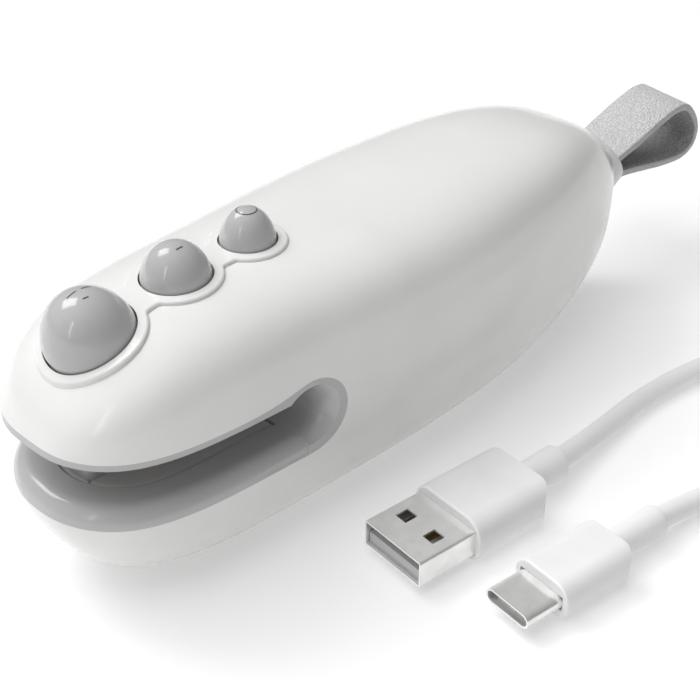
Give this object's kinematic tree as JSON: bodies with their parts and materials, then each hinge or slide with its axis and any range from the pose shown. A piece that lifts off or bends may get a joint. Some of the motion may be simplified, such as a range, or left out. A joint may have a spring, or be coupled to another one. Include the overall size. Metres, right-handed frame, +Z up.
{
  "type": "handheld bag heat sealer",
  "caption": "Rounded handheld heat sealer for bags: mouth slot with a sprung hot head, dome buttons, tail loop and a loose charging lead.",
  "frame": {"origin": "middle of the sealer's footprint at the surface it stands on, strap included and cable left out", "axes": "+X from the nose with the mouth to the tail with the strap, +Z up, the sealer symmetric about Y = 0"},
  "size_m": [0.152, 0.1234, 0.0465],
  "materials": {
    "white_shell": "polished moulded plastic",
    "grey_liner": "polished moulded plastic",
    "grey_button": "polished moulded plastic",
    "silicone": "soft matt silicone",
    "dark_plastic": "fine moulded texture",
    "steel": "drawn",
    "plated": "bright nickel plate",
    "gold_contact": "gold flash",
    "ptfe": "woven glass cloth, non-stick",
    "board": "solder mask",
    "cell_wrap": "shrink sleeve",
    "leather": "fine pebble grain",
    "collar": "satin moulded plastic",
    "white_cable": "soft satin jacket"
  },
  "bodies": {
    "sealer_body": {"main_housing": "white_shell", "bottom_cover": "white_shell", "cover_screws": "steel", "button_bezel": "white_shell", "upper_liner": "grey_liner", "lower_liner": "grey_liner", "anvil_plate": "grey_liner", "silicone_pad": "silicone", "guide_pins": "steel", "return_springs": "steel", "mode_spring": "steel", "power_spring": "steel", "control_board": "board", "board_screws": "steel", "tact_switches": "dark_plastic", "battery_cell": "cell_wrap", "battery_cradle": "dark_plastic", "battery_contacts": "plated", "charge_board": "board", "charge_port_shell": "plated", "charge_port_tongue": "dark_plastic", "strap_collar": "collar", "strap_pin": "steel"},
    "heater_head": {"heater_head": "dark_plastic", "heating_strip": "steel", "ptfe_cover": "ptfe"},
    "seal_button": {"seal_button": "grey_button", "seal_plunger": "dark_plastic"},
    "mode_button": {"mode_button": "grey_button"},
    "power_button": {"power_button": "grey_button"},
    "strap": {"strap": "leather"},
    "charging_cable": {"cord_from_usb_a": "white_cable", "cord_from_usb_c": "white_cable", "cord_coil": "white_cable", "coil_tie": "white_cable", "usb_a_shell": "plated", "usb_a_tongue": "grey_liner", "usb_a_contacts": "gold_contact", "usb_a_grip": "white_cable", "usb_a_strain_relief": "white_cable", "usb_c_shell": "plated", "usb_c_contacts": "steel", "usb_c_grip": "white_cable", "usb_c_strain_relief": "white_cable"}
  },
  "joints": [
    {"name": "seal_press", "type": "slide", "parent": "sealer_body", "child": "seal_button", "axis": [0.3289, 0, -0.9444], "range_m": [0, 0.0035], "stiffness_N_per_m": 300, "springref_m": -0.002},
    {"name": "head_press", "type": "slide", "parent": "sealer_body", "child": "heater_head", "axis": [0, 0, -1], "range_m": [0, 0.00331], "stiffness_N_per_m": 400, "springref_m": -0.002, "deforming": ["return_springs"]},
    {"name": "mode_press", "type": "slide", "parent": "sealer_body", "child": "mode_button", "axis": [0, 0, -1], "range_m": [0, 0.0008], "stiffness_N_per_m": 900, "springref_m": -0.0008, "deforming": ["mode_spring"]},
    {"name": "power_press", "type": "slide", "parent": "sealer_body", "child": "power_button", "axis": [0, 0, -1], "range_m": [0, 0.0008], "stiffness_N_per_m": 900, "springref_m": -0.0008, "deforming": ["power_spring"]},
    {"name": "strap_swing", "type": "hinge", "parent": "sealer_body", "child": "strap", "pos_m": [0.0413, 0, 0.0234], "axis": [0, 1, 0], "range_deg": [-3, 3]},
    {"name": "cable_slide", "type": "slide", "parent": "sealer_body", "child": "charging_cable", "axis": [0, -1, 0], "range_m": [0, 0.05]}
  ],
  "couplings": [
    {"joint": "head_press", "follows": "seal_press", "ratio": 0.94438}
  ]
}
